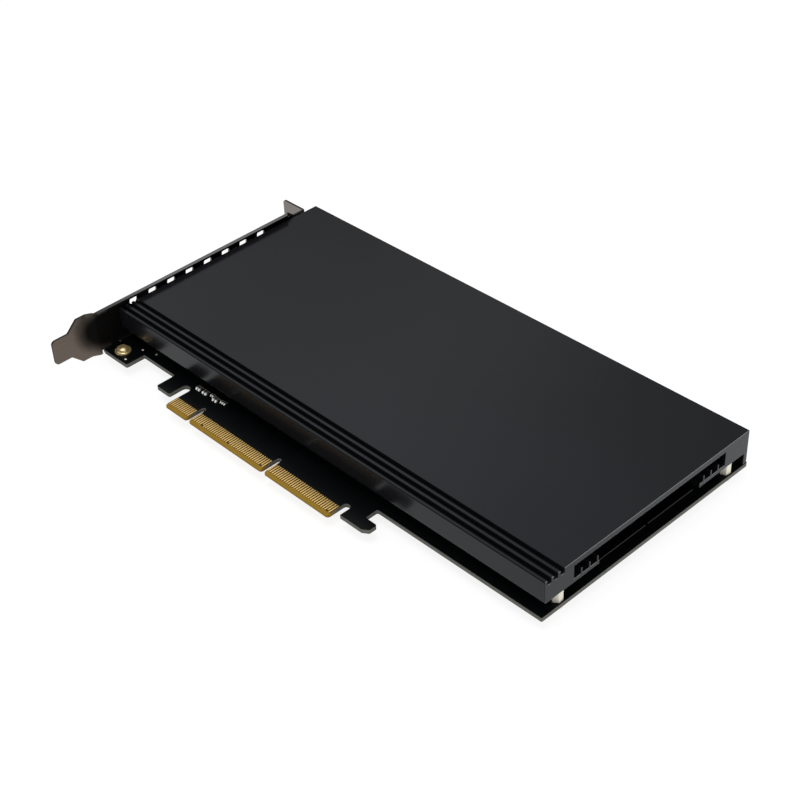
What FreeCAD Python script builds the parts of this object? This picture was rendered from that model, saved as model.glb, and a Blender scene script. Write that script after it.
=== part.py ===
import FreeCAD, Part
import math
import os
from FreeCAD import Vector

# NVMe adapter card: a full-height x16 add-in card that carries four M.2 drives under one heatsink.
# Lengths are millimetres. While modelling, x runs from the bracket to the tail with 0 at the centre of
# the key notch, y runs up the card from the edge of the contact tongue, and z is the height above the
# component face of the board. finish() moves everything so that the origin is under the middle.

# ---- circuit board ----
board_thick = 1.57
board_head = -55.4            # edge that faces the bracket
board_tail = 151.74
board_top = 111.15            # long edge opposite the contacts
board_edge = 13.0             # long edge on the contact side
corner_r = 0.4
inner_r = 0.7
foot_bottom = 4.9             # foot that carries the lower bracket screw
foot_length = 13.95
tab_start = -23.3             # locating tab beside the contact tongue
tab_width = 7.25
tab_bottom = 4.75
tab_slot_top = 12.35
cut_over = 1.0                # how far a through cut runs past the faces
round_flat = 0.02             # flat left at the closed end of a full-round slot

# ---- contact tongue ----
contact_pitch = 1.0
count_before_key = 11
contact_count = 82
count_x8 = 49                 # last contact before the extra notch
notch_pin_count = 2           # contacts left out where the extra notch is
key_gap = 3.0                 # last contact before the key to the first one after it
tongue_margin = 0.65
notch_width = 1.9
notch_top = 8.4
tongue_r = 0.7
bevel_length = 1.3
bevel_depth = 0.45
pad_width = 0.7
pad_margin = 0.1              # bevel to the start of a contact
pad_short = 0.65              # how much later a short contact starts
pad_end = 5.65
pad_thick = 0.05
short_front = (17, 31, 48, 81)
short_back = (1,)

# ---- retention hook ----
hook_slot = 2.9
hook_slot_r = 1.2
hook_bottom = 3.05
hook_length = 12.1
hook_chamfer_x = 2.2
hook_chamfer_y = 1.4
hook_height = 4.75
hook_neck = 6.85

# ---- M.2 drive places ----
drive_count = 4
drive_margin_front = 2.1      # heatsink's front face to the first drive place
drive_margin_back = 0.6       # last drive place to the rear skirt
drive_length = 80.0
rear_inset_inner = 1.35       # board's tail edge to the middle sockets
rear_inset_outer = 7.2        # and to the sockets beside the corner posts
socket_length = 8.7
socket_width = 21.9
socket_height = 4.2
socket_r = 0.25
slot_bottom = 1.7
slot_height = 0.95
slot_depth = 5.4
slot_wall = 0.9
lip_setback = 1.6
key_offset = 6.1
key_width = 1.0
card_seat = 4.0               # how far a drive goes into its socket
stud_d = 4.4                  # threaded stud under the free end of a drive
stud_height = 1.65
m2_bore = 2.1

# ---- heatsink extrusion ----
sink_clear = 0.6              # sockets to the heatsink's underside
sink_gap = 1.0                # bracket to heatsink
sink_front_inset = 1.05       # board edge to heatsink
sink_back_inset = 0.6
sink_height = 8.8
sink_edge = 0.35
sink_front_r = 1.0            # lower front edge
sink_corner_r = 1.5           # lower front corner at the bracket end
groove_count = 3
groove_width = 1.65
groove_depth = 1.9
groove_ridge = 1.2
groove_r = 0.45
roof_thick = 2.1
floor_thick = 1.45
front_block = 12.95
back_block = 10.15
skirt_thick = 1.8
skirt_clear = 0.3             # rear skirt to the board
fin_count = 19
fin_thick = 0.7
fin_height = 2.15
fin_margin = 3.4              # window wall to the middle of the outer fin
relief_depth = 9.5            # cut-out of the floor above the middle sockets
relief_clear = 1.3
relief_above_fins = 0.1
thermal_thick = 0.5
thermal_width = 20.0
thermal_length = 70.0
thermal_inset = 5.0           # socket mouth to the thermal pad

# ---- heatsink posts and their screws ----
post_across = 3.5
post_turn_front = 57.0        # direction of one flat, degrees from +x towards -y
post_turn_back = 6.6
post_inset_tail = 2.34
post_inset_head = 11.0
post_front = 22.1
post_back = 102.3
post_tap = 3.6
m25_d = 2.5
m25_head_d = 4.6
m25_head_height = 1.5
m25_chamfer = 0.5
m25_grip = 3.2
thread_play = 0.05

# ---- bracket ----
sheet = 0.86
fold_r = 0.8
fold_inner_r = 0.15
bracket_gap = 0.89            # bracket to the board's edge
bracket_width = 18.42
tongue_tip = -14.25
tip_width = 10.19
tip_r = 1.6
tongue_step = 1.45            # the tongue lies this far outside the plate
step_start = 1.3
step_end = 3.9
step_r = 1.5
taper_low = -7.2
taper_high = -2.86
taper_r = 0.7
lip_depth = 2.2
lip_end = 97.3
lip_slope = 1.6
neck_drop = 2.4
neck_slope = 2.9
flange_y = 105.77             # outside face of the flange
flange_depth = 11.43
flange_r = 1.2
flange_overhang = 2.8
flange_relief = 1.5
screw_notch_width = 4.42
screw_notch_inset = 5.3       # plate to the middle of the screw notch
screw_notch_depth = 5.0
vent_d = 3.6
vent_count = 8
vent_pitch = 8.75
vent_start = 21.55
vent_row_count = 2
vent_row_pitch = 7.58
vent_drop = 2.9               # bracket edge to the middle of the first row
ear_width = 7.0
ear_reach = 12.0
ear_r = 1.5
ear_relief = 0.8

# ---- bracket screws ----
screw_reach = 7.85            # bracket's outside face to the screws
screw_low = 9.2
screw_high = 92.0
m3_d = 3.0
m3_hole_d = 3.3
m3_head_d = 6.2
m3_head_height = 2.1
m3_chamfer = 0.8
m3_length = 4.2

# ---- parts soldered on the board ----
cap_large = (0.8, 1.6, 0.8)
cap_small = (0.5, 1.0, 0.5)
cap_end = 0.3
large_caps = ((-11.0, 14.2), (-9.75, 14.2), (-7.55, 14.2), (-6.15, 14.2), (-1.7, 14.05), (-0.25, 14.05))
small_caps = ((-4.2, 14.9), (-3.3, 14.9), (1.3, 14.8), (2.25, 14.8), (3.2, 14.8))
socket_cap_count = 3
socket_cap_pitch = 5.0
socket_cap_gap = 2.0
chip_x = -29.0
chip_size = (5.0, 6.0, 0.9)
choke_x = -20.0
choke_size = (6.6, 6.6, 3.0)
choke_foot = (1.4, 3.3, 0.15)
choke_foot_inset = 1.4
bulk_x = -8.5
bulk_size = (4.3, 7.3, 2.8)
bulk_end = (2.2, 0.4, 1.4)
clock_x = -42.0
clock_size = (6.0, 6.0, 0.82)
clock_lift = 0.08
clock_pad_count = 6
clock_pad_pitch = 0.8
clock_pad_width = 0.36
clock_pad_reach = 0.2

# ---- derived places ----
pin_first = -key_gap / 2 - (count_before_key - 1) * contact_pitch
pin_last = key_gap / 2 + (contact_count - count_before_key - 1) * contact_pitch
pin_x8 = key_gap / 2 + (count_x8 - count_before_key - 1) * contact_pitch
tongue_start = pin_first - tongue_margin
tongue_end = pin_last + tongue_margin
extra_start = pin_x8 + tongue_margin
hook_start = tongue_end + hook_slot
tab_end = tab_start + tab_width
foot_end = board_head + foot_length

sink_bottom = socket_height + sink_clear
sink_top = sink_bottom + sink_height
sink_front = board_edge + sink_front_inset
sink_back = board_top - sink_back_inset
skirt_inner = sink_back - skirt_thick
window_front = sink_front + front_block
window_back = skirt_inner - back_block
window_top = sink_top - roof_thick
floor_top = sink_bottom + floor_thick

plate_inner = board_head - bracket_gap
plate_outer = plate_inner - sheet
plate_low = -board_thick - sheet
plate_high = plate_low + bracket_width
plate_mid = (plate_low + plate_high) / 2
neck_high = plate_high - neck_drop
flange_low = plate_low - flange_overhang
flange_out = plate_outer - flange_depth
sink_head = plate_inner + sink_gap

post_xs = (board_head + post_inset_head, board_tail - post_inset_tail)
post_ys = (post_front, post_back)
m25_bore = m25_d + 2 * thread_play
screw_x = plate_outer + screw_reach
screw_ys = (screw_low, screw_high)
drive_first = sink_front + drive_margin_front
drive_last = skirt_inner - drive_margin_back
drive_pitch = (drive_last - drive_first) / drive_count
drive_middle = (drive_first + drive_last) / 2
drive_ys = [drive_first + (i + 0.5) * drive_pitch for i in range(drive_count)]
rear_insets = [rear_inset_outer if i in (0, drive_count - 1) else rear_inset_inner for i in range(drive_count)]
drives = [(board_tail - inset, y) for inset, y in zip(rear_insets, drive_ys)]
centre_x = (flange_out + board_tail) / 2
centre_y = (tongue_tip + board_top) / 2

parts = {}


# ---- shape helpers ----
def box(x0, x1, y0, y1, z0, z1):
    return Part.makeBox(x1 - x0, y1 - y0, z1 - z0, Vector(x0, y0, z0))


def block(x, y, z0, size):
    """Box of size (x, y, z) standing at z0 with its middle over x, y."""
    wide, deep, high = size
    return box(x - wide / 2, x + wide / 2, y - deep / 2, y + deep / 2, z0, z0 + high)


def rod(x, y, z0, z1, d):
    return Part.makeCylinder(d / 2, z1 - z0, Vector(x, y, z0), Vector(0, 0, 1))


def outline(corners):
    """Closed 2-D wire through corners (u, v) or (u, v, radius), with an arc at each rounded corner."""
    points = [Vector(corner[0], corner[1], 0) for corner in corners]
    stretches = []
    for i, corner in enumerate(corners):
        here = points[i]
        radius = corner[2] if len(corner) > 2 else 0
        if radius == 0:
            stretches.append((here, None, here))
            continue
        back = (points[i - 1] - here).normalize()
        on = (points[(i + 1) % len(points)] - here).normalize()
        half = back.getAngle(on) / 2
        run = radius / math.tan(half)
        middle = here + (back + on).normalize() * (radius / math.sin(half) - radius)
        stretches.append((here + back * run, middle, here + on * run))
    edges = []
    for i, (start, middle, end) in enumerate(stretches):
        if middle is not None:
            edges.append(Part.Arc(start, middle, end).toShape())
        following = stretches[(i + 1) % len(stretches)][0]
        if (following - end).Length > 1e-6:
            edges.append(Part.LineSegment(end, following).toShape())
    return Part.Wire(edges)


def full_round(width):
    return (width - round_flat) / 2


def plan(corners, z0, z1):
    """Prism of an outline in x, y between two heights."""
    face = Part.Face(outline(corners))
    face.translate(Vector(0, 0, z0))
    return face.extrude(Vector(0, 0, z1 - z0))


def section(corners, x0, x1):
    """Prism of an outline in y, z along x."""
    face = Part.Face(outline(corners))
    face.Placement = FreeCAD.Placement(Vector(x0, 0, 0), FreeCAD.Rotation(Vector(1, 1, 1), 120))
    return face.extrude(Vector(x1 - x0, 0, 0))


def side(corners, y0, y1):
    """Prism of an outline in x, z along y."""
    face = Part.Face(outline(corners))
    face.Placement = FreeCAD.Placement(Vector(0, y0, 0), FreeCAD.Rotation(Vector(1, 0, 0), 90))
    return face.extrude(Vector(0, y1 - y0, 0))


def pan_screw(x, y, z_seat, direction, d, head_d, head_height, chamfer, length):
    """Screw seated at z_seat, with its head towards direction: +1 up, -1 down."""
    head = rod(0, 0, 0, head_height, head_d)
    rim = [edge for edge in head.Edges if all(v.Z > head_height / 2 for v in edge.Vertexes)]
    screw = head.makeChamfer(chamfer, rim).fuse(rod(0, 0, -length, 0, d))
    if direction < 0:
        screw.rotate(Vector(0, 0, 0), Vector(1, 0, 0), 180)
    screw.translate(Vector(x, y, z_seat))
    return screw


def add(name, solids):
    parts[name] = Part.makeCompound(solids) if len(solids) > 1 else solids[0]


def pin_x(number):
    """Middle of a contact, counted from the bracket end."""
    if number <= count_before_key:
        return pin_first + (number - 1) * contact_pitch
    return key_gap / 2 + (number - 1 - count_before_key) * contact_pitch


# ---- circuit board: notched outline, bevelled tongue, screw and stud holes ----
def stud_places():
    """Middle of each drive stud: the drive's end, measured from its seat in the socket."""
    return [(rear - socket_length + card_seat - drive_length, y) for rear, y in drives]


def circuit_board():
    tab_slot_r = full_round(tongue_start - tab_end)
    corners = [
        (board_head, foot_bottom, inner_r), (foot_end, foot_bottom, inner_r),
        (foot_end, board_edge, corner_r), (tab_start, board_edge, inner_r),
        (tab_start, tab_bottom, inner_r), (tab_end, tab_bottom, inner_r),
        (tab_end, tab_slot_top, tab_slot_r), (tongue_start, tab_slot_top, tab_slot_r),
        (tongue_start, 0, tongue_r)]
    notch_r = full_round(notch_width)
    for start in (-notch_width / 2, extra_start):
        end = start + notch_width
        corners += [(start, 0, tongue_r), (start, notch_top, notch_r), (end, notch_top, notch_r), (end, 0, tongue_r)]
    hook_end = hook_start + hook_length
    hook_top = hook_bottom + hook_height
    corners += [
        (tongue_end, 0, tongue_r), (tongue_end, notch_top, hook_slot_r),
        (hook_start, notch_top, hook_slot_r), (hook_start, hook_bottom),
        (hook_end - hook_chamfer_x, hook_bottom, inner_r), (hook_end, hook_bottom + hook_chamfer_y, inner_r),
        (hook_end, hook_top, inner_r), (hook_start + hook_neck, hook_top, inner_r),
        (hook_start + hook_neck, board_edge, inner_r), (board_tail, board_edge, corner_r),
        (board_tail, board_top, corner_r), (board_head, board_top, corner_r)]
    body = plan(corners, -board_thick, 0)
    for face, inward in ((0, -1), (-board_thick, 1)):
        wedge = [(0, face), (bevel_length, face), (0, face + inward * bevel_depth)]
        body = body.cut(section(wedge, tongue_start, tongue_end))
    holes = [(screw_x, y, m3_hole_d) for y in screw_ys]
    holes += [(x, y, m25_bore) for x in post_xs for y in post_ys]
    tools = [rod(x, y, -board_thick - cut_over, cut_over, d) for x, y, d in holes]
    add("circuit_board", [body.cut(Part.makeCompound(tools))])


# ---- edge contacts on both faces ----
def contacts():
    left_out = range(count_x8 + 1, count_x8 + 1 + notch_pin_count)
    faces = (("front_contacts", 0, short_front), ("back_contacts", -board_thick - pad_thick, short_back))
    for name, z, short in faces:
        pads = []
        for pin in range(1, contact_count + 1):
            if pin in left_out:
                continue
            x = pin_x(pin)
            start = bevel_length + pad_margin + (pad_short if pin in short else 0)
            pads.append(box(x - pad_width / 2, x + pad_width / 2, start, pad_end, z, z + pad_thick))
        add(name, pads)


# ---- heatsink: grooved roof, solid side blocks, finned floor, rear skirt, relief over the middle sockets ----
def fin_places():
    first = window_front + fin_margin
    step = (window_back - window_front - 2 * fin_margin) / (fin_count - 1)
    return [first + i * step for i in range(fin_count)]


def sink_profile():
    corners = [(sink_front, sink_bottom, sink_front_r), (skirt_inner, sink_bottom), (skirt_inner, skirt_clear),
               (sink_back, skirt_clear), (sink_back, sink_top, sink_edge)]
    for i in reversed(range(groove_count)):
        start = sink_front + groove_ridge + i * (groove_ridge + groove_width)
        end = start + groove_width
        bottom = sink_top - groove_depth
        corners += [(end, sink_top), (end, bottom, groove_r), (start, bottom, groove_r), (start, sink_top)]
    return corners + [(sink_front, sink_top, sink_edge)]


def window_profile():
    corners = [(window_front, window_top), (window_front, floor_top)]
    for y in fin_places():
        left, right, top = y - fin_thick / 2, y + fin_thick / 2, floor_top + fin_height
        corners += [(left, floor_top), (left, top), (right, top), (right, floor_top)]
    return corners + [(window_back, floor_top), (window_back, window_top)]


def heatsink():
    body = section(sink_profile(), sink_head, board_tail)
    body = body.cut(section(window_profile(), sink_head - cut_over, board_tail + cut_over))
    half = (drive_pitch + socket_width) / 2 + relief_clear
    relief = box(board_tail - relief_depth, board_tail + cut_over, drive_middle - half, drive_middle + half,
                 sink_bottom - cut_over, floor_top + fin_height + relief_above_fins)
    round_x, round_z = sink_head + sink_corner_r, sink_bottom + sink_corner_r
    corner = box(sink_head, round_x, sink_front, window_front, sink_bottom, round_z)
    bulge = Part.makeCylinder(sink_corner_r, front_block, Vector(round_x, sink_front, round_z), Vector(0, 1, 0))
    add("heatsink", [body.cut(relief).cut(corner.cut(bulge))])


def heatsink_fixings():
    posts = []
    screws = []
    radius = post_across / 2 / math.cos(math.pi / 6)
    for y, turn in zip(post_ys, (post_turn_front, post_turn_back)):
        for x in post_xs:
            angles = [math.radians(30 - turn + 60 * i) for i in range(6)]
            hexagon = [(x + radius * math.cos(a), y + radius * math.sin(a)) for a in angles]
            posts.append(plan(hexagon, 0, sink_bottom).cut(rod(x, y, -cut_over, post_tap, m25_bore)))
            screws.append(pan_screw(x, y, -board_thick, -1, m25_d, m25_head_d, m25_head_height, m25_chamfer,
                                    board_thick + m25_grip))
    add("heatsink_posts", posts)
    add("post_screws", screws)


def thermal_pads():
    size = (thermal_length, thermal_width, thermal_thick)
    middle = socket_length + thermal_inset + thermal_length / 2
    add("thermal_pads", [block(rear - middle, y, sink_bottom - thermal_thick, size) for rear, y in drives])


# ---- M.2 sockets with the mouth towards the bracket and a key rib in the slot, and the drive studs ----
def socket_housing(rear, y):
    mouth = rear - socket_length
    low, high = y - socket_width / 2, y + socket_width / 2
    slot_top = slot_bottom + slot_height
    profile = [(rear, 0), (rear, socket_height, socket_r), (mouth, socket_height, socket_r), (mouth, slot_top),
               (mouth + slot_depth, slot_top), (mouth + slot_depth, slot_bottom),
               (mouth + lip_setback, slot_bottom), (mouth + lip_setback, 0)]
    cheeks = [box(mouth, mouth + slot_depth, start, start + slot_wall, 0, slot_top)
              for start in (low, high - slot_wall)]
    rib_y = y + key_offset
    rib = box(mouth + lip_setback, mouth + slot_depth, rib_y - key_width / 2, rib_y + key_width / 2,
              slot_bottom, slot_top)
    return side(profile, low, high).fuse(cheeks + [rib]).removeSplitter()


def drive_places():
    add("drive_sockets", [socket_housing(rear, y) for rear, y in drives])
    add("drive_studs", [rod(x, y, 0, stud_height, stud_d).cut(rod(x, y, 0, stud_height, m2_bore))
                        for x, y in stud_places()])


# ---- bracket: one folded sheet with lip, vents, screw flange, stepped tongue and two ears ----
def bracket_sheet():
    """The folded strip seen from above: flange, plate, step and tongue, cut to the blank's outline."""
    outer_step = plate_outer - tongue_step
    path = [(flange_out, flange_y - sheet), (plate_outer, flange_y - sheet, fold_inner_r),
            (plate_outer, step_end, step_r), (outer_step, step_start, step_r), (outer_step, tongue_tip),
            (outer_step + sheet, tongue_tip), (outer_step + sheet, step_start, step_r),
            (plate_inner, step_end, step_r), (plate_inner, flange_y, fold_r), (flange_out, flange_y)]
    half = tip_width / 2
    edge = [(tongue_tip, plate_mid - half, tip_r), (taper_low, plate_mid - half, taper_r),
            (taper_high, plate_low, taper_r), (flange_y, plate_low), (flange_y, neck_high),
            (lip_end + neck_slope, neck_high, taper_r), (lip_end, plate_high),
            (taper_high, plate_high, taper_r), (taper_low, plate_mid + half, taper_r),
            (tongue_tip, plate_mid + half, tip_r)]
    relief_x = plate_outer - flange_relief
    flange = [(plate_inner, neck_high), (flange_out, neck_high, flange_r), (flange_out, flange_low, flange_r),
              (relief_x, flange_low), (relief_x, plate_low), (plate_inner, plate_low)]
    blank = section(edge, outer_step, plate_inner).fuse(side(flange, flange_y - sheet, flange_y))
    return plan(path, flange_low, plate_high).common(blank)


def fold(z_edge, inward, reach, y0, y1, relief):
    """A strip folded inwards from one long edge of the plate, and the tool that clears the plate there."""
    z_in = z_edge + inward * sheet
    z_root = z_edge + inward * 2 * sheet
    corners = [(plate_outer, z_root), (plate_outer, z_edge, fold_r), (plate_outer + reach, z_edge),
               (plate_outer + reach, z_in), (plate_inner, z_in, fold_inner_r), (plate_inner, z_root)]
    low, high = sorted((z_root, z_edge - inward * cut_over))
    clearing = box(plate_outer - cut_over, plate_inner + cut_over, y0 - relief, y1 + relief, low, high)
    return side(corners, y0, y1), clearing


def bracket_openings():
    openings = []
    for row in range(vent_row_count):
        shift = vent_pitch / 2 if row % 2 else 0
        z = plate_high - vent_drop - row * vent_row_pitch
        for i in range(vent_count - row % 2):
            place = Vector(plate_outer - cut_over, vent_start + shift + i * vent_pitch, z)
            openings.append(Part.makeCylinder(vent_d / 2, sheet + 2 * cut_over, place, Vector(1, 0, 0)))
    left = plate_outer - screw_notch_inset - screw_notch_width / 2
    right = left + screw_notch_width
    radius = full_round(screw_notch_width)
    notch = [(left, flange_low - cut_over), (left, flange_low + screw_notch_depth, radius),
             (right, flange_low + screw_notch_depth, radius), (right, flange_low - cut_over)]
    openings.append(side(notch, flange_y - sheet - cut_over, flange_y + cut_over))
    openings += [rod(screw_x, y, plate_low - cut_over, plate_low + sheet + cut_over, m3_d + 2 * thread_play)
                 for y in screw_ys]
    return openings


def bracket():
    lip, clearing = fold(plate_high, -1, lip_depth, step_end, lip_end, 0)
    lip_plan = [(plate_outer, step_end), (plate_outer + lip_depth, step_end + lip_slope),
                (plate_outer + lip_depth, lip_end - lip_slope), (plate_outer, lip_end)]
    folds = [lip.common(plan(lip_plan, plate_low, plate_high))]
    clearings = [clearing]
    for y in screw_ys:
        low, high = y - ear_width / 2, y + ear_width / 2
        ear, clearing = fold(plate_low, 1, ear_reach, low, high, ear_relief)
        ear_plan = [(plate_outer, low), (plate_outer + ear_reach, low, ear_r),
                    (plate_outer + ear_reach, high, ear_r), (plate_outer, high)]
        folds.append(ear.common(plan(ear_plan, plate_low, plate_high)))
        clearings.append(clearing)
    folded = bracket_sheet().cut(Part.makeCompound(clearings)).fuse(folds)
    add("bracket", [folded.cut(Part.makeCompound(bracket_openings())).removeSplitter()])


def bracket_screws():
    add("bracket_screws", [pan_screw(screw_x, y, 0, 1, m3_d, m3_head_d, m3_head_height, m3_chamfer, m3_length)
                           for y in screw_ys])


# ---- parts soldered to the board ----
def chip_capacitors():
    places = [(x, y, cap_large) for x, y in large_caps] + [(x, y, cap_small) for x, y in small_caps]
    for rear, y in drives:
        x = rear - socket_length - socket_cap_gap
        first = -(socket_cap_count - 1) * socket_cap_pitch / 2
        places += [(x, y + first + i * socket_cap_pitch, cap_small) for i in range(socket_cap_count)]
    bodies = []
    ends = []
    for x, y, (wide, long, high) in places:
        bodies.append(block(x, y, 0, (wide, long - 2 * cap_end, high)))
        for towards in (-1, 1):
            ends.append(block(x, y + towards * (long - cap_end) / 2, 0, (wide, cap_end, high)))
    add("capacitor_bodies", bodies)
    add("capacitor_ends", ends)


def supplies():
    long, wide, high = choke_size
    bulk_long, bulk_wide, bulk_high = bulk_size
    chokes = []
    feet = []
    bulk_ends = []
    foot_high = choke_foot[2]
    for y in drive_ys:
        chokes.append(block(choke_x, y, foot_high, (long, wide, high - foot_high)))
        feet += [block(choke_x + towards * (long / 2 - choke_foot_inset), y, 0, choke_foot) for towards in (-1, 1)]
        bulk_ends += [block(bulk_x, y + towards * (bulk_wide - bulk_end[1]) / 2, 0, bulk_end) for towards in (-1, 1)]
    bulk_body = (bulk_long, bulk_wide - 2 * bulk_end[1], bulk_high)
    add("supply_inductors", chokes)
    add("inductor_feet", feet)
    add("supply_chips", [block(chip_x, y, 0, chip_size) for y in drive_ys])
    add("bulk_capacitors", [block(bulk_x, y, 0, bulk_body) for y in drive_ys])
    add("bulk_capacitor_ends", bulk_ends)


def clock_buffer():
    long, wide, high = clock_size
    pads = []
    first = -(clock_pad_count - 1) * clock_pad_pitch / 2
    for i in range(clock_pad_count):
        along = first + i * clock_pad_pitch
        for towards in (-1, 1):
            pads.append(block(clock_x + towards * long / 2, drive_middle + along, 0,
                              (2 * clock_pad_reach, clock_pad_width, clock_lift)))
            pads.append(block(clock_x + along, drive_middle + towards * wide / 2, 0,
                              (clock_pad_width, 2 * clock_pad_reach, clock_lift)))
    add("clock_buffer", [block(clock_x, drive_middle, clock_lift, (long, wide, high))])
    add("clock_pads", pads)


def finish():
    """Put the origin under the middle of the card, at the lowest point of the flange, and write the parts."""
    os.makedirs("parts", exist_ok=True)
    for name, shape in parts.items():
        shape.translate(Vector(-centre_x, -centre_y, -flange_low))
        shape.exportStep("parts/" + name + ".step")


circuit_board()
contacts()
heatsink()
heatsink_fixings()
thermal_pads()
drive_places()
bracket()
bracket_screws()
chip_capacitors()
supplies()
clock_buffer()
finish()
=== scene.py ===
# NVMe adapter card: a full-height add-in card for an x16 slot. It takes four 22 x 80 mm drives
# between its circuit board and one aluminium heatsink. Lengths are metres, in the frame of the
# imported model.
import math

import bmesh
import bpy
from mathutils import Matrix, Vector


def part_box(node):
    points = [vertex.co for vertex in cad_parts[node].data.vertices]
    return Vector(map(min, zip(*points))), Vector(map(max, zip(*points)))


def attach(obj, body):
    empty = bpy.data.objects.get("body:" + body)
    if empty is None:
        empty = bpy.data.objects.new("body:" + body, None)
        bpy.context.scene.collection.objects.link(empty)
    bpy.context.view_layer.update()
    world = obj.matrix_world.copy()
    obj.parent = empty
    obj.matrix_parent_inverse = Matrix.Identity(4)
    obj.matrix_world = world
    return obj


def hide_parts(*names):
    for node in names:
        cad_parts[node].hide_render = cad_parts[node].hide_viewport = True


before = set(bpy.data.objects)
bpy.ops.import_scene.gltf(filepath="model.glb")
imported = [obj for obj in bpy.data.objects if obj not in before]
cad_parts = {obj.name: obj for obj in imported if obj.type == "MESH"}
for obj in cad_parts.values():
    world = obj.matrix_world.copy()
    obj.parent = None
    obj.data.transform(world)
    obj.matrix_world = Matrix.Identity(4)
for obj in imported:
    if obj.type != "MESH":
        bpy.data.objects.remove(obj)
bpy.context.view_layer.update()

# ---- circuit board ----
# Six copper layers in glass-fibre laminate, 1.57 mm thick, under black solder mask. The outline is
# routed, so every cut edge shows the bare laminate, and the contact tongue is left without mask and
# bevelled along its edge.
MM = 0.001
board_low, board_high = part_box("circuit_board")
face = board_high[2]
back = board_low[2]
tongue_edge = board_low[1]
pads_low, pads_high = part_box("front_contacts")
tail_to_key = 151.74 * MM
key_x = board_high[0] - tail_to_key
tongue_margin = 0.4 * MM
tongue_bevel = 1.6 * MM
ply = 0.2 * MM


class Signal:
    """One output of a node. Arithmetic on it adds Math nodes to the same tree."""

    def __init__(self, nodes, socket):
        self.nodes = nodes
        self.socket = socket

    def maths(self, operation, *values):
        return self.nodes.node("ShaderNodeMath", {"operation": operation}, values)

    def __add__(self, other):
        return self.maths("ADD", self, other)

    def __sub__(self, other):
        return self.maths("SUBTRACT", self, other)

    def __rsub__(self, other):
        return self.maths("SUBTRACT", other, self)

    def __mul__(self, other):
        return self.maths("MULTIPLY", self, other)

    def __truediv__(self, other):
        return self.maths("DIVIDE", self, other)

    def __lt__(self, other):
        return self.maths("LESS_THAN", self, other)

    def __gt__(self, other):
        return self.maths("GREATER_THAN", self, other)

    def __abs__(self):
        return self.maths("ABSOLUTE", self)

    __radd__ = __add__
    __rmul__ = __mul__

    def sine(self):
        return self.maths("SINE", self)

    def root(self):
        return self.maths("SQRT", self)

    def at_least(self, other):
        return self.maths("MAXIMUM", self, other)

    def at_most(self, other):
        return self.maths("MINIMUM", self, other)

    def rise(self, low, high):
        """0 below low, 1 above high, and smooth between them."""
        return self.nodes.node(
            "ShaderNodeMapRange",
            {"interpolation_type": "SMOOTHSTEP"},
            {"Value": self, "From Min": low, "From Max": high},
        )


class Nodes:
    """A node tree, and the one way in which nodes are added to it."""

    def __init__(self, tree):
        self.tree = tree

    def node(self, kind, settings=None, inputs=(), outputs=(0,)):
        """Adds a node with these settings, and these values or signals in its inputs. Returns its
        output, or a list where several outputs are named."""
        made = self.tree.nodes.new(kind)
        for name, value in (settings or {}).items():
            setattr(made, name, value)
        pairs = inputs.items() if isinstance(inputs, dict) else enumerate(inputs)
        for name, value in pairs:
            if isinstance(value, Signal):
                self.tree.links.new(value.socket, made.inputs[name])
            else:
                made.inputs[name].default_value = value
        signals = [Signal(self, made.outputs[name]) for name in outputs]
        return signals if len(signals) > 1 else signals[0]

    def axes(self, vector):
        """The x, y and z of a vector."""
        return self.node("ShaderNodeSeparateXYZ", None, (vector,), (0, 1, 2))

    def show(self, surface, last):
        """Links a shader to the tree's last node, so that it is what is seen."""
        self.tree.links.new(surface.socket, self.tree.nodes[last].inputs["Surface"])


class Finish(Nodes):
    """A material: one Principled shader and the nodes that vary it over a piece."""

    def __init__(self, name, **constants):
        self.material = bpy.data.materials.new(name)
        self.material.use_nodes = True
        super().__init__(self.material.node_tree)
        self.shader = self.tree.nodes["Principled BSDF"]
        for socket, value in constants.items():
            self.shader.inputs[socket.replace("_", " ")].default_value = value
        self.place, self.facing = self.node("ShaderNodeTexCoord", outputs=("Object", "Normal"))

    def grain(self, size, detail=2.0, stretch=(1, 1, 1)):
        """Noise from 0 to 1 with grains of this size in metres, drawn out by stretch."""
        scaled = self.node(
            "ShaderNodeMapping",
            {"vector_type": "POINT"},
            {"Vector": self.place, "Scale": [1 / (size * s) for s in stretch]},
        )
        return self.node("ShaderNodeTexNoise", None, {"Vector": scaled, "Scale": 1.0, "Detail": detail})

    def mix(self, first, second, amount):
        """Colour that goes from first to second as amount goes from 0 to 1."""
        return self.node("ShaderNodeMix", {"data_type": "RGBA"}, {0: amount, 6: first, 7: second}, (2,))

    def bump(self, height, depth):
        """Surface relief of this depth in metres, where height goes from 0 to 1."""
        return self.node("ShaderNodeBump", None, {"Height": height, "Distance": depth, "Strength": 1.0})

    def feed(self, **signals):
        """Links each signal to the shader's socket of that name."""
        for socket, signal in signals.items():
            self.tree.links.new(signal.socket, self.shader.inputs[socket.replace("_", " ")])


def colour(red, green, blue):
    """A colour with its alpha."""
    return (red, green, blue, 1.0)


def dress(finish, *nodes):
    """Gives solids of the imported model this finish."""
    for node in nodes:
        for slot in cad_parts[node].material_slots:
            slot.material = finish.material


board_finish = Finish("black_solder_mask", Specular_IOR_Level=0.09)
x, y, z = board_finish.axes(board_finish.place)
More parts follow.
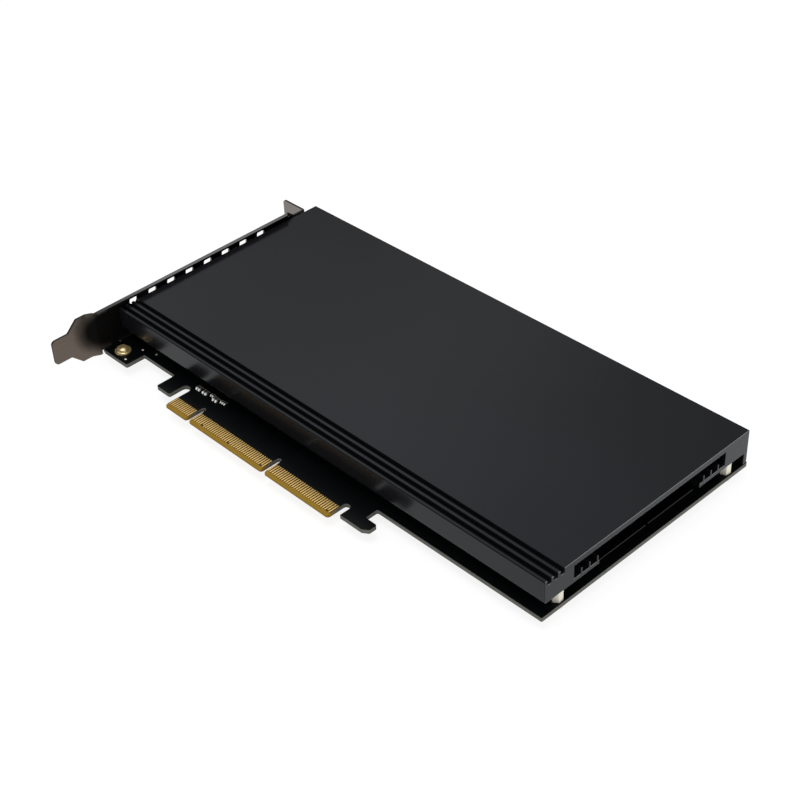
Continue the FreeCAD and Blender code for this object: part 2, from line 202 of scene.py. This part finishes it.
# Level is 1 on the board's two faces, 0 on its routed edge, and in between on the bevel.
level = abs(board_finish.axes(board_finish.facing)[2])
cut_edge = level < 0.3
in_tongue = (x > pads_low[0] - tongue_margin) * (x < pads_high[0] + tongue_margin)
bevel = (level < 0.98) * (y < tongue_edge + tongue_bevel) * in_tongue
bare_face = (y < pads_high[1] + 0.1 * MM) * in_tongue
bare_edge = (cut_edge + bevel).rise(0.0, 0.5)
end_of_tongue = (1 - y.rise(tongue_edge + 0.5 * MM, tongue_edge + 5.5 * MM)) * in_tongue
plies = (z * (2 * math.pi / ply)).sine() * 0.5 + 0.5
fibres = board_finish.grain(0.4 * MM, 3.0, (4, 4, 0.2))
peel = board_finish.grain(0.6 * MM)
mask_cloud = board_finish.grain(9 * MM)
mask = board_finish.mix(colour(0.0008, 0.0012, 0.0014), colour(0.0026, 0.0036, 0.0040), mask_cloud)
between_pads = board_finish.mix(colour(0.030, 0.018, 0.006), colour(0.07, 0.042, 0.014), fibres)
resin = board_finish.mix(colour(0.235, 0.135, 0.012), colour(0.32, 0.195, 0.026), fibres)
laminate = plies * 0.65 + fibres * 0.35
glass = board_finish.mix(colour(0.085, 0.083, 0.074), colour(0.20, 0.198, 0.18), laminate)
glass = board_finish.mix(glass, resin, end_of_tongue)
surface = board_finish.mix(mask, between_pads, bare_face)
surface = board_finish.mix(surface, glass, cut_edge)
surface = board_finish.mix(surface, resin, bevel)
board_finish.feed(
    Base_Color=surface,
    Roughness=0.3 + peel * 0.06 + bare_edge * 0.35,
    Normal=board_finish.bump(peel * (1 - bare_edge) + plies * bare_edge * 3, 0.006 * MM),
)
dress(board_finish, "circuit_board")

# ---- contacts ----
# The 82 contact places on each side of the tongue are copper plated with nickel and hard gold. The
# springs of the slot have wiped fine lines up every contact.
edge_pitch = 1.0 * MM
first_gap = key_x + 1.25 * MM
gold = Finish("hard_gold", Metallic=1.0)
wiped = gold.grain(0.12 * MM, 3.0, (1, 14, 1))
gold_cloud = gold.grain(7 * MM)
x, _, _ = gold.axes(gold.place)
# Painted shade: each contact is painted dark brown along its flanks, once every contact pitch.
painted_flank_shade = 1 - ((x - first_gap) * (2 * math.pi / edge_pitch)).sine().rise(-0.35, 0.6)
plate = gold.mix(colour(0.76, 0.47, 0.13), colour(0.98, 0.70, 0.27), gold_cloud * 0.6 + wiped * 0.4)
gold.feed(
    Base_Color=gold.mix(plate, colour(0.10, 0.055, 0.016), painted_flank_shade),
    Roughness=0.26 + wiped * 0.16,
    Normal=gold.bump(wiped, 0.004 * MM),
)
dress(gold, "front_contacts", "back_contacts")

# ---- signal traces ----
# Copper pairs run from the contacts to the sockets under the solder mask, which stands 0.015 mm
# proud over them. Each socket has four pairs on either face, nested so that none cross.
trace_width = 0.22 * MM
trace_lift = 0.015 * MM
trace_bend = 3 * MM
pair_gap = 0.42 * MM
pair_pitch = 1.7 * MM
pair_offset = 4 * MM
# Where the first eight and the last eight lanes start past the key, and their step, in millimetres.
near_lanes = (4.0, 4.3)
far_lanes = (12.0, 3.8)
socket_width = 21.9 * MM
socket_length = 8.7 * MM
sockets_low, sockets_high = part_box("drive_sockets")
socket_pitch = (sockets_high[1] - sockets_low[1] - socket_width) / 3
socket_rears = [sockets_high[0] - inset * MM for inset in (5.85, 0, 0, 5.85)]
socket_middles = [sockets_low[1] + socket_width / 2 + i * socket_pitch for i in range(4)]

covered = Finish("mask_over_copper", Specular_IOR_Level=0.1)
ripple = covered.grain(0.5 * MM)
cover_cloud = covered.grain(12 * MM)
covered.feed(
    Base_Color=covered.mix(colour(0.0012, 0.0018, 0.0020), colour(0.0034, 0.0046, 0.0048), cover_cloud),
    Roughness=0.28 + ripple * 0.08,
    Normal=covered.bump(ripple, 0.004 * MM),
)


def build(name, shape, finish, replaces=(), sharp=32):
    """Makes an object of a bmesh or mesh that is already in place, and lets it ride on the card."""
    if isinstance(shape, bmesh.types.BMesh):
        mesh = bpy.data.meshes.new(name)
        shape.to_mesh(mesh)
        shape.free()
    else:
        mesh = shape
        mesh.name = name
    mesh.shade_smooth()
    mesh.set_sharp_from_angle(angle=math.radians(sharp))
    mesh.materials.clear()
    mesh.materials.append(finish.material)
    made = bpy.data.objects.new(name, mesh)
    bpy.context.scene.collection.objects.link(made)
    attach(made, "root")
    if replaces:
        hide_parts(*replaces)
    return made


def ribbon(shape, points, across, width):
    """Adds a flat strip of this width: an edge that lies along across, drawn through the points."""
    half = Vector(across) * width / 2
    here, *rest = [Vector(point) for point in points]
    edge = shape.edges.new([shape.verts.new(here - half), shape.verts.new(here + half)])
    for point in rest:
        drawn = bmesh.ops.extrude_edge_only(shape, edges=[edge])["geom"]
        corners = [part for part in drawn if isinstance(part, bmesh.types.BMVert)]
        bmesh.ops.translate(shape, vec=point - here, verts=corners)
        edge = next(part for part in drawn if isinstance(part, bmesh.types.BMEdge))
        here = point


traces = bmesh.new()
for lane in range(16):
    socket = 3 - lane // 4
    first_x, step_x = near_lanes if lane < 8 else far_lanes
    for side in (-0.5, 0.5):
        start_x = key_x + (first_x + lane * step_x) * MM + side * pair_gap
        end_x = socket_rears[socket] - socket_length - (3 + lane % 4) * MM
        run_y = socket_middles[socket] + pair_offset + (3 - lane % 4) * pair_pitch - side * pair_gap
        for side_z, outward in ((back, -1), (face, 1)):
            height = side_z + outward * trace_lift
            upright = [(start_x, pads_high[1] + 0.4 * MM, height), (start_x, run_y - trace_bend, height)]
            level_run = [(start_x + trace_bend, run_y, height), (end_x, run_y, height)]
            ribbon(traces, upright, (1, 0, 0), trace_width)
            ribbon(traces, [upright[1], level_run[0]], Vector((1, -1, 0)).normalized(), trace_width)
            ribbon(traces, level_run, (0, 1, 0), trace_width)
traces.normal_update()
for strip in traces.faces:
    if strip.normal.z * (strip.calc_center_median().z - (face + back) / 2) < 0:
        strip.normal_flip()
build("signal_traces", traces, covered)

# ---- vias ----
# Plated holes 0.3 mm wide tie the ground layers together and end each trace. The mask closes them,
# which leaves a low ring with a dimple.


def outline_of(*pairs):
    """A turned form's outline from pairs of radius and height in millimetres."""
    return [(radius * MM, height * MM) for radius, height in pairs]


def turned(shape, outline, x, y, z, steps, flip=1):
    """Adds a turned form at x, y, z: its outline is spun round its axis, upside down if flip is -1."""
    part = bmesh.new()
    points = [part.verts.new((radius, 0, height * flip)) for radius, height in outline]
    chain = [part.edges.new(pair) for pair in zip(points, points[1:])]
    bmesh.ops.spin(
        part,
        geom=points + chain,
        cent=(0, 0, 0),
        axis=(0, 0, 1),
        angle=2 * math.pi,
        steps=steps,
        use_merge=True,
    )
    bmesh.ops.remove_doubles(part, verts=part.verts[:], dist=1e-7)
    bmesh.ops.recalc_face_normals(part, faces=part.faces[:])
    # A form that is open below has no inside to tell its faces by, so its crown decides.
    open_below = outline[-1][0] > 0
    if open_below and sum(f.normal.z * flip for f in part.faces) < 0:
        bmesh.ops.reverse_faces(part, faces=part.faces[:])
    bmesh.ops.translate(part, vec=(x, y, z), verts=part.verts[:])
    mesh = bpy.data.meshes.new("turned")
    part.to_mesh(mesh)
    part.free()
    shape.from_mesh(mesh)
    bpy.data.meshes.remove(mesh)


via_ring = outline_of((0.0, 0.006), (0.1, 0.008), (0.2, 0.028), (0.3, 0.02), (0.34, 0.0))
ground_pitch = 5.5
rear_row = [(key_x + (8 + ground_pitch * i) * MM, board_high[1] - 2.2 * MM) for i in range(26)]
contact_row = [(key_x + (95 + ground_pitch * i) * MM, board_low[1] + 15.4 * MM) for i in range(10)]
via_places = rear_row + contact_row
for middle, rear in zip(socket_middles, socket_rears):
    mouth = rear - socket_length
    for lane in range(4):
        for side in (-0.5, 0.5):
            via_y = middle + pair_offset + (3 - lane) * pair_pitch - side * pair_gap
            via_places.append((mouth - (3.2 + lane) * MM, via_y))
        via_places.append((mouth - 9 * MM, middle - (9 - 3 * lane) * MM))
vias = bmesh.new()
for via_x, via_y in via_places:
    turned(vias, via_ring, via_x, via_y, face, 12)
    turned(vias, via_ring, via_x, via_y, back, 12, -1)
build("vias", vias, covered)

# ---- drive sockets ----
# Four drive sockets stand near the tail with their mouths towards the bracket. Their housings are
# moulded in black glass-filled nylon with soft edges and a fine matt grain.
nylon = Finish("moulded_nylon", Specular_IOR_Level=0.0)
nylon_grain = nylon.grain(0.25 * MM, 4.0)
nylon_skin = nylon.mix(colour(0.0006, 0.0006, 0.0006), colour(0.0018, 0.0018, 0.0018), nylon_grain)
endways, _, upward = [abs(part) for part in nylon.axes(nylon.facing)]
# Painted highlight: the edges, where the surface turns both endways and upward, are painted a lighter grey.
painted_edge_highlight = (endways > 0.3) * (upward > 0.3)
nylon.feed(
    Base_Color=nylon.mix(nylon_skin, colour(0.045, 0.045, 0.045), painted_edge_highlight),
    Roughness=0.42 + nylon_grain * 0.2,
    Normal=nylon.bump(nylon_grain, 0.02 * MM),
)


def eased(node, width, finish):
    """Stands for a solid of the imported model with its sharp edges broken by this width."""
    shape = bmesh.new()
    shape.from_mesh(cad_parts[node].data)
    bmesh.ops.remove_doubles(shape, verts=shape.verts[:], dist=1e-6)
    bmesh.ops.dissolve_limit(shape, angle_limit=math.radians(1), verts=shape.verts[:], edges=shape.edges[:])
    sharp_angle = math.radians(40)
    corners = [edge for edge in shape.edges if edge.is_manifold and edge.calc_face_angle(0) > sharp_angle]
    bmesh.ops.bevel(shape, geom=corners, offset=width, affect="EDGES", segments=2, profile=0.5, material=-1)
    made = build("eased_" + node, shape, finish, (node,), 50)
    made.modifiers.new("flat_faces", "WEIGHTED_NORMAL").keep_sharp = True


eased("drive_sockets", 0.07 * MM, nylon)

# ---- socket contacts ----
# Gold-plated springs stand in each socket in two rows on 0.5 mm pitch, with a gap at the key rib.
# Their tails come out under the mouth and are soldered to the board.
slot_floor = face + 1.7 * MM
slot_roof = slot_floor + 0.95 * MM
spring_pitch = 0.5 * MM
key_rib = 6.1 * MM
# Each line gives distances behind the mouth and heights in millimetres.
spring_line = ((5.2, 0.08), (2.4, 0.3), (2.0, 0.1))
tail_line = ((1.58, 0.7), (1.4, 0.12), (0.5, 0.09))
springs = bmesh.new()
for middle, rear in zip(socket_middles, socket_rears):
    mouth = rear - socket_length
    for place in range(-18, 19):
        offset = place * spring_pitch
        if abs(offset - key_rib) < 0.9 * MM:
            continue
        for root, way in ((slot_floor, 1), (slot_roof, -1)):
            points = [(mouth + x * MM, middle + offset, root + way * z * MM) for x, z in spring_line]
            ribbon(springs, points, (0, 1, 0), 0.2 * MM)
        points = [(mouth + x * MM, middle + offset, face + z * MM) for x, z in tail_line]
        ribbon(springs, points, (0, 1, 0), 0.22 * MM)
bmesh.ops.solidify(springs, geom=springs.faces[:], thickness=0.07 * MM)
bmesh.ops.recalc_face_normals(springs, faces=springs.faces[:])
build("socket_contacts", springs, gold)

# ---- drive studs ----
# A threaded brass stud with nickel plating carries the free end of each drive. It is pressed into
# the board, and its finish is a soft satin.
nickel = Finish("satin_nickel", Metallic=0.45)
nickel_cloud = nickel.grain(1.6 * MM, 3.0)
lathe_lines = nickel.grain(0.1 * MM, 2.0, (1, 1, 8))
nickel.feed(
    Base_Color=nickel.mix(colour(0.78, 0.73, 0.61), colour(0.92, 0.88, 0.77), nickel_cloud),
    Roughness=0.34 + nickel_cloud * 0.14,
    Normal=nickel.bump(lathe_lines, 0.003 * MM),
)
eased("drive_studs", 0.08 * MM, nickel)

# ---- power and clock parts ----
# Step-down converters stand in a row by the contact edge: a moulded chip, a pressed ferrite
# inductor and a bulk capacitor. A clock buffer lies nearer the bracket.
moulded = Finish("chip_mould", Specular_IOR_Level=0.4)
mould_grain = moulded.grain(0.08 * MM, 3.0)
moulded.feed(
    Base_Color=moulded.mix(colour(0.008, 0.008, 0.009), colour(0.022, 0.022, 0.024), mould_grain),
    Roughness=0.5 + mould_grain * 0.2,
    Normal=moulded.bump(mould_grain, 0.01 * MM),
)
eased("supply_chips", 0.05 * MM, moulded)
eased("clock_buffer", 0.04 * MM, moulded)
eased("bulk_capacitors", 0.12 * MM, moulded)

ferrite = Finish("pressed_ferrite")
powder = ferrite.grain(0.18 * MM, 5.0)
ferrite.feed(
    Base_Color=ferrite.mix(colour(0.05, 0.05, 0.052), colour(0.14, 0.14, 0.145), powder),
    Roughness=0.55 + powder * 0.25,
    Normal=ferrite.bump(powder, 0.03 * MM),
)
eased("supply_inductors", 0.2 * MM, ferrite)

solder = Finish("tin_solder", Metallic=0.15)
pooled = solder.grain(0.5 * MM, 2.0)
solder.feed(
    Base_Color=solder.mix(colour(0.88, 0.88, 0.87), colour(0.97, 0.97, 0.96), pooled),
    Roughness=0.14 + pooled * 0.12,
    Normal=solder.bump(pooled, 0.006 * MM),
)
dress(solder, "inductor_feet", "bulk_capacitor_ends", "clock_pads")

# ---- chip capacitors ----
# Small fired-ceramic blocks with tinned ends stand in a row above the contacts, where they couple
# the signals, and beside the sockets. A fillet of solder climbs each end.
ceramic = Finish("fired_ceramic")
fired = ceramic.grain(0.15 * MM, 3.0)
ceramic.feed(
    Base_Color=ceramic.mix(colour(0.045, 0.036, 0.028), colour(0.10, 0.08, 0.062), fired),
    Roughness=0.45 + fired * 0.2,
    Normal=ceramic.bump(fired, 0.008 * MM),
)
eased("capacitor_bodies", 0.04 * MM, ceramic)

# Painted shade: the tinned ends are painted a darker grey than the solder of the fillets.
tinned = Finish("tin_painted_darker", Metallic=1.0)
tin_mottle = tinned.grain(0.3 * MM, 3.0)
tinned.feed(
    Base_Color=tinned.mix(colour(0.34, 0.34, 0.33), colour(0.5, 0.5, 0.49), tin_mottle),
    Roughness=0.25 + tin_mottle * 0.15,
)
eased("capacitor_ends", 0.05 * MM, tinned)

# Sizes are widths and lengths in millimetres, and places are measured from the key and the edge.
large_size = (0.8, 1.6)
large_places = [(-11.0, 14.2), (-9.75, 14.2), (-7.55, 14.2), (-6.15, 14.2), (-1.7, 14.05), (-0.25, 14.05)]
small_size = (0.5, 1.0)
small_places = [(-4.2, 14.9), (-3.3, 14.9), (1.3, 14.8), (2.25, 14.8), (3.2, 14.8)]
# The pads towards the contacts are longer, so their fillets run out further and climb higher: the
# way they lie, their depth in millimetres and their height as a share of the width.
contact_side = (-1, 0.85, 0.95)
socket_side = (1, 0.4, 0.45)
fillet_gap = 0.13
fillets = bmesh.new()
for places, (wide, long) in ((large_places, large_size), (small_places, small_size)):
    for cap_x, cap_y in places:
        for way, deep, climb in (contact_side, socket_side):
            tall = wide * climb
            made = bmesh.ops.create_cube(fillets, size=1.0)["verts"]
            bmesh.ops.scale(fillets, vec=(wide * 1.05 * MM, deep * MM, tall * MM), verts=made)
            rim = [v for v in made if v.co.z > 0 and v.co.y * way > 0]
            bmesh.ops.translate(fillets, vec=(0, -way * deep * 0.7 * MM, 0), verts=rim)
            end_y = tongue_edge + (cap_y + way * (long / 2 + fillet_gap)) * MM
            bmesh.ops.translate(fillets, vec=(key_x + cap_x * MM, end_y, face + tall / 2 * MM), verts=made)
bmesh.ops.bevel(
    fillets,
    geom=fillets.edges[:],
    offset=0.06 * MM,
    affect="EDGES",
    segments=2,
    profile=0.5,
    material=-1,
)
build("capacitor_fillets", fillets, solder)

# ---- test pads ----
# Three bare tinned pads by the lower bracket screw let a probe reach the board's supplies. The tin
# stands on each as a low dome.
pad_dome = outline_of((0, 0.09), (0.24, 0.075), (0.38, 0.035), (0.44, 0.0))
pads = bmesh.new()
for pad_x, pad_y in ((-44.5, 6.75), (-44.4, 14.55), (-38.4, 16.25)):
    turned(pads, pad_dome, key_x + pad_x * MM, tongue_edge + pad_y * MM, face, 20)
build("test_pads", pads, solder)

# ---- bracket ----
# Cold-rolled steel, 0.86 mm thick, punched, folded and plated in dark nickel. The plating is satin
# outside and on the tab, and dull on the sheared edges. The tab is painted lighter, a painted
# highlight; the lip is painted darker towards the foot, a painted shade; the inner face and a patch
# round the fold between foot and plate are painted nearly black, a painted reflection of the black
# card and heatsink.
foot_shear = tongue_edge + 3.9 * MM
foot_top = tongue_edge + 9 * MM
dark_reflection_top = tongue_edge + 30 * MM
dark_reflection_length = 11.5 * MM
dark_reflection_width = 9 * MM
fold_z = face + 8 * MM
lip_low = tongue_edge + 4 * MM
lip_high = tongue_edge + 97 * MM
tab_low = tongue_edge + 97.3 * MM
plated = Finish("dark_nickel_plate", Specular_IOR_Level=0.03)
_, y, z = plated.axes(plated.place)
facing_x, _, facing_z = plated.axes(plated.facing)
rolled = plated.grain(0.3 * MM, 3.0, (1, 30, 1))
# A patch round the fold between foot and plate is painted nearly black and matt: a painted dark reflection
# of the heatsink.
dark_reflection_y = (y.at_most(foot_top) - foot_top) / dark_reflection_length
dark_reflection_z = (z - fold_z) / dark_reflection_width
from_fold = (dark_reflection_y * dark_reflection_y + dark_reflection_z * dark_reflection_z).root()
painted_dark_reflection = (1 - from_fold.rise(0.66, 1.32)) * (facing_x > -0.3) * (y < dark_reflection_top)
tab_edge = (y > tab_low) * (abs(facing_z) > 0.7)
foot_edge = (y < foot_shear) * (abs(facing_x) < 0.5)
sheared = (tab_edge + foot_edge).rise(0.0, 0.6)
# The plate's inner face is painted darker: a painted reflection of the black card and heatsink.
inner_face_painted_reflection = (facing_x > 0.3) * (y > foot_top) * (y < lip_high)
lip = (facing_z > 0.8) * (y < lip_high) * (y > lip_low)
# Painted shade: the lip is painted darker towards the foot and lighter further up.
along_lip = y.rise(tongue_edge + 5 * MM, tongue_edge + 40 * MM)
lip_with_painted_shade = plated.mix(colour(0.055, 0.055, 0.055), colour(0.17, 0.169, 0.168), along_lip)
satin = plated.mix(colour(0.108, 0.087, 0.072), colour(0.144, 0.119, 0.100), rolled)
satin = plated.mix(satin, colour(0.022, 0.019, 0.017), inner_face_painted_reflection)
satin = plated.mix(satin, colour(0.004, 0.0036, 0.0034), painted_dark_reflection)
# Painted highlight: the tab is painted lighter than the rest of the plate.
satin = plated.mix(satin, colour(0.19, 0.176, 0.166), y > tab_low)
satin = plated.mix(satin, colour(0.03, 0.028, 0.026), sheared)
satin = plated.mix(satin, lip_with_painted_shade, lip)
plated.feed(
    Base_Color=satin,
    Metallic=1 - painted_dark_reflection,
    Roughness=0.2 + rolled * 0.08 + sheared * 0.3 + painted_dark_reflection * 0.4,
    Normal=plated.bump(rolled, 0.002 * MM),
)
eased("bracket", 0.07 * MM, plated)

# ---- bracket screws ----
# Two M3 screws of yellow passivated steel hold the bracket's ears under the board. The head is
# domed, with a thin flange below and a cross recess.
passivated = Finish("yellow_passivated_steel", Metallic=0.72)
tarnish = passivated.grain(0.9 * MM, 3.0)
passivated.feed(
    Base_Color=passivated.mix(colour(0.50, 0.35, 0.14), colour(0.90, 0.72, 0.40), tarnish),
    Roughness=0.08 + tarnish * 0.08,
)


def carve(shape, cutter):
    """The mesh of the first bmesh with the second cut out of it. Both are used up."""
    holders = []
    for part in (shape, cutter):
        mesh = bpy.data.meshes.new("carving")
        part.to_mesh(mesh)
        part.free()
        holders.append(bpy.data.objects.new("carving", mesh))
        bpy.context.scene.collection.objects.link(holders[-1])
    cut = holders[0].modifiers.new("cut", "BOOLEAN")
    cut.object = holders[1]
    cut.solver = "EXACT"
    cut.use_self = True
    graph = bpy.context.evaluated_depsgraph_get()
    carved = bpy.data.meshes.new_from_object(holders[0].evaluated_get(graph))
    for holder in holders:
        bpy.data.objects.remove(holder)
    return carved


def screws(node, outline, reach, turn, places, flip, finish):
    """Cross-recess screws that stand for a node: one is turned, cut by a cross of this reach at this
    turn, and set with the seat of its head at each place, upside down if flip is -1."""
    blank = bmesh.new()
    turned(blank, outline, 0, 0, 0, 40)
    depth = 0.8 * MM
    cross = bmesh.new()
    for quarter in (0, math.pi / 2):
        made = bmesh.ops.create_cube(cross, size=1.0)["verts"]
        bmesh.ops.scale(cross, vec=(reach * 2, reach * 0.34, depth * 2), verts=made)
        foot = [v for v in made if v.co.z < 0]
        bmesh.ops.scale(cross, vec=(0.45, 0.6, 1), verts=foot)
        turn_bar = Matrix.Rotation(quarter + turn, 3, "Z")
        bmesh.ops.rotate(cross, cent=(0, 0, 0), matrix=turn_bar, verts=made)
    crown = outline[0][1]
    bmesh.ops.translate(cross, vec=(0, 0, crown), verts=cross.verts[:])
    one = carve(blank, cross)
    shape = bmesh.new()
    for place in places:
        earlier = set(shape.verts)
        shape.from_mesh(one)
        fresh = [v for v in shape.verts if v not in earlier]
        if flip < 0:
            bmesh.ops.rotate(shape, cent=(0, 0, 0), matrix=Matrix.Rotation(math.pi, 3, "X"), verts=fresh)
        bmesh.ops.translate(shape, vec=place, verts=fresh)
    bpy.data.meshes.remove(one)
    build("cross_" + node, shape, finish, (node,), 40)


flange_r = 3.1 * MM
m3_outline = outline_of(
    (0, 2.1), (0.8, 2.05), (1.5, 1.88), (2.05, 1.55), (2.4, 1.1), (2.5, 0.7), (2.62, 0.62), (2.95, 0.58),
    (3.1, 0.4), (3.1, 0.12), (3.0, 0.0), (1.5, 0.0), (1.5, -3.95), (1.25, -4.2), (0, -4.2),
)
ears_low, ears_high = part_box("bracket_screws")
ear_x = ears_low[0] + flange_r
ear_places = [(ear_x, ears_low[1] + flange_r, face), (ear_x, ears_high[1] - flange_r, face)]
screws("bracket_screws", m3_outline, 1.15 * MM, 0.5, ear_places, 1, passivated)

# ---- posts and their screws ----
# Four hexagonal nickel-plated posts hold the heatsink off the board at its corners. An M2.5 screw
# goes up into each from under the board.
eased("heatsink_posts", 0.1 * MM, nickel)
pan_r = 2.3 * MM
m25_outline = outline_of(
    (0, 1.5), (0.8, 1.46), (1.5, 1.3), (2.0, 0.98), (2.24, 0.55), (2.3, 0.2), (2.25, 0.0), (1.25, 0.0),
    (1.25, -4.6), (1.05, -4.77), (0, -4.77),
)
posts_low, posts_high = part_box("post_screws")
post_places = [
    (post_x, post_y, back)
    for post_x in (posts_low[0] + pan_r, posts_high[0] - pan_r)
    for post_y in (posts_low[1] + pan_r, posts_high[1] - pan_r)
]
screws("post_screws", m25_outline, 1.2 * MM, 0.9, post_places, -1, nickel)

# ---- thermal pads ----
# A soft silicone pad filled with grey ceramic powder lies over each drive and carries its heat to
# the heatsink.
silicone = Finish("silicone_pad", Specular_IOR_Level=0.3)
filler = silicone.grain(0.3 * MM, 4.0)
silicone.feed(
    Base_Color=silicone.mix(colour(0.22, 0.23, 0.24), colour(0.32, 0.33, 0.35), filler),
    Roughness=0.75 + filler * 0.15,
    Normal=silicone.bump(filler, 0.03 * MM),
)
eased("thermal_pads", 0.12 * MM, silicone)

# ---- heatsink ----
# One aluminium extrusion, sawn to length, fine blasted and anodised black. The skin is a dark satin
# with a faint cloudiness. The sawn ends are lighter, and painted light makes them lighter still
# towards the card's far edge; the edges of the sawn ends are painted lighter, as wear and a painted
# highlight, and the bevels along the long top edges are painted nearly black, a painted shade.
anodised = Finish("black_anodised", Specular_IOR_Level=0.17, Specular_Tint=colour(0.84, 0.92, 1.0))
_, y, _ = anodised.axes(anodised.place)
facing_x, facing_y, facing_z = anodised.axes(anodised.facing)
sawn_end = abs(facing_x).rise(0.6, 0.95)
edge_wear_and_highlight = (abs(facing_x) > 0.25) * (abs(facing_z) > 0.25)
long_edge_painted_shade = (abs(facing_y) > 0.25) * (facing_z > 0.25)
blasted = anodised.grain(0.22 * MM, 3.0)
drawn = anodised.grain(0.5 * MM, 2.0, (60, 1, 1))
cloud = anodised.grain(45 * MM, 2.0)
# Painted light: the sawn ends are painted lighter from the contact edge towards the card's far edge.
painted_light_across_card = y.rise(tongue_edge, board_high[1])
lighter_end_and_painted_light = anodised.mix(colour(0.010, 0.0105, 0.0115), colour(0.030, 0.031, 0.034), painted_light_across_card)
skin = anodised.mix(colour(0.0048, 0.0048, 0.0059), colour(0.0088, 0.0088, 0.0106), cloud)
skin = anodised.mix(skin, lighter_end_and_painted_light, sawn_end)
# The bevels round the sawn ends are painted lighter: worn edges and a painted highlight.
skin = anodised.mix(skin, colour(0.2, 0.203, 0.21), edge_wear_and_highlight)
# Painted shade: the bevels along the long top edges are painted nearly black.
skin = anodised.mix(skin, colour(0.002, 0.002, 0.002), long_edge_painted_shade)
anodised.feed(
    Base_Color=skin,
    Roughness=0.17 + blasted * 0.04 + cloud * 0.03 + long_edge_painted_shade * 0.6,
    Normal=anodised.bump(blasted * 0.7 + drawn * 0.3, 0.0012 * MM),
)
eased("heatsink", 0.18 * MM, anodised)

# ---- floor, light and camera ----
# A pale floor and a white tent all round light the card softly, with one large lamp overhead and a
# small one at the tail. The camera looks down from the tail's right-hand side.
white = colour(1, 1, 1)
# Rays that see the floor and the tent, or their image in a surface, find them brightly lit.
bright_rays = ("Is Camera Ray", "Is Glossy Ray", "Is Transmission Ray")
floor_shape = bmesh.new()
bmesh.ops.create_grid(floor_shape, x_segments=1, y_segments=1, size=12.0)
bmesh.ops.translate(floor_shape, vec=(0, 0, -0.0002), verts=floor_shape.verts[:])
floor_mesh = bpy.data.meshes.new("floor")
floor_shape.to_mesh(floor_mesh)
floor_shape.free()
floor = bpy.data.objects.new("floor", floor_mesh)
bpy.context.scene.collection.objects.link(floor)

paper = Finish("white_paper", Base_Color=colour(0.82, 0.82, 0.82), Roughness=0.9, Specular_IOR_Level=0.1)
seen, mirrored, through = paper.node("ShaderNodeLightPath", outputs=bright_rays)
glow = paper.node("ShaderNodeEmission", None, {"Color": white, "Strength": 0.86})
shaded = paper.node("ShaderNodeBsdfDiffuse", None, {"Color": colour(0.18, 0.18, 0.18)})
bright_paper = paper.node("ShaderNodeAddShader", None, (glow, shaded))
plain_paper = Signal(paper, paper.shader.outputs[0])
either_paper = (seen + mirrored + through, plain_paper, bright_paper)
paper.show(paper.node("ShaderNodeMixShader", None, either_paper), "Material Output")
floor_mesh.materials.append(paper.material)

# To a surface that mirrors it, the tent's cloth is dim low down and at its sides, and a brighter
# seam crosses it. Light that falls on the card comes evenly from all round.
dim_cloth = 0.25
cloth_middle = 0.19
seam_lean = 0.18
seam_place = 0.675
seam_width = 0.09
seam_light = 0.56
world = bpy.data.worlds.new("white_tent")
bpy.context.scene.world = world
world.use_nodes = True
tent = Nodes(world.node_tree)
seen, mirrored, through = tent.node("ShaderNodeLightPath", outputs=bright_rays)
along, across, height = tent.axes(tent.node("ShaderNodeTexCoord", outputs=("Generated",)))
cloth = (height - abs(across - cloth_middle)).rise(0.09, 0.33) * (1 - dim_cloth) + dim_cloth
seam = 1 - abs(along - across * seam_lean + seam_place).rise(0.0, seam_width)
tent_light = (cloth + seam * seam_light).at_least(seen)
soft_tent = tent.node("ShaderNodeBackground", None, {"Color": white, "Strength": 0.65})
bright_tent = tent.node("ShaderNodeBackground", None, {"Color": white, "Strength": tent_light})
either_tent = (seen + mirrored + through, soft_tent, bright_tent)
tent.show(tent.node("ShaderNodeMixShader", None, either_tent), "World Output")


def lamp(name, place, width, depth, power, mirrored):
    """A soft rectangular lamp that points at the card, and shows in polished metal if mirrored."""
    light = bpy.data.lights.new(name, "AREA")
    light.shape = "RECTANGLE"
    light.size = width
    light.size_y = depth
    light.energy = power
    hung = bpy.data.objects.new(name, light)
    hung.location = place
    hung.visible_glossy = mirrored
    hung.rotation_euler = (-Vector(place)).to_track_quat("-Z", "Y").to_euler()
    bpy.context.scene.collection.objects.link(hung)


lamp("overhead_lamp", (0.0, -0.2, 1.6), 0.8, 0.8, 9.0, True)
lamp("tail_lamp", (1.5, 0.2, 0.7), 1.0, 0.8, 5.0, False)

camera = bpy.data.cameras.new("camera")
camera.lens = 73.82
camera.sensor_width = 36.0
camera.shift_x = 0.07525
camera.shift_y = 0.0276
camera.clip_start = 0.01
camera.clip_end = 50.0
tripod = bpy.data.objects.new("camera", camera)
tripod.location = (0.33661, -0.29338, 0.35006)
tripod.rotation_euler = [math.radians(angle) for angle in (51.776, 3.59, 47.557)]
bpy.context.scene.collection.objects.link(tripod)
bpy.context.scene.camera = tripod
bpy.context.scene.view_settings.view_transform = "Standard"
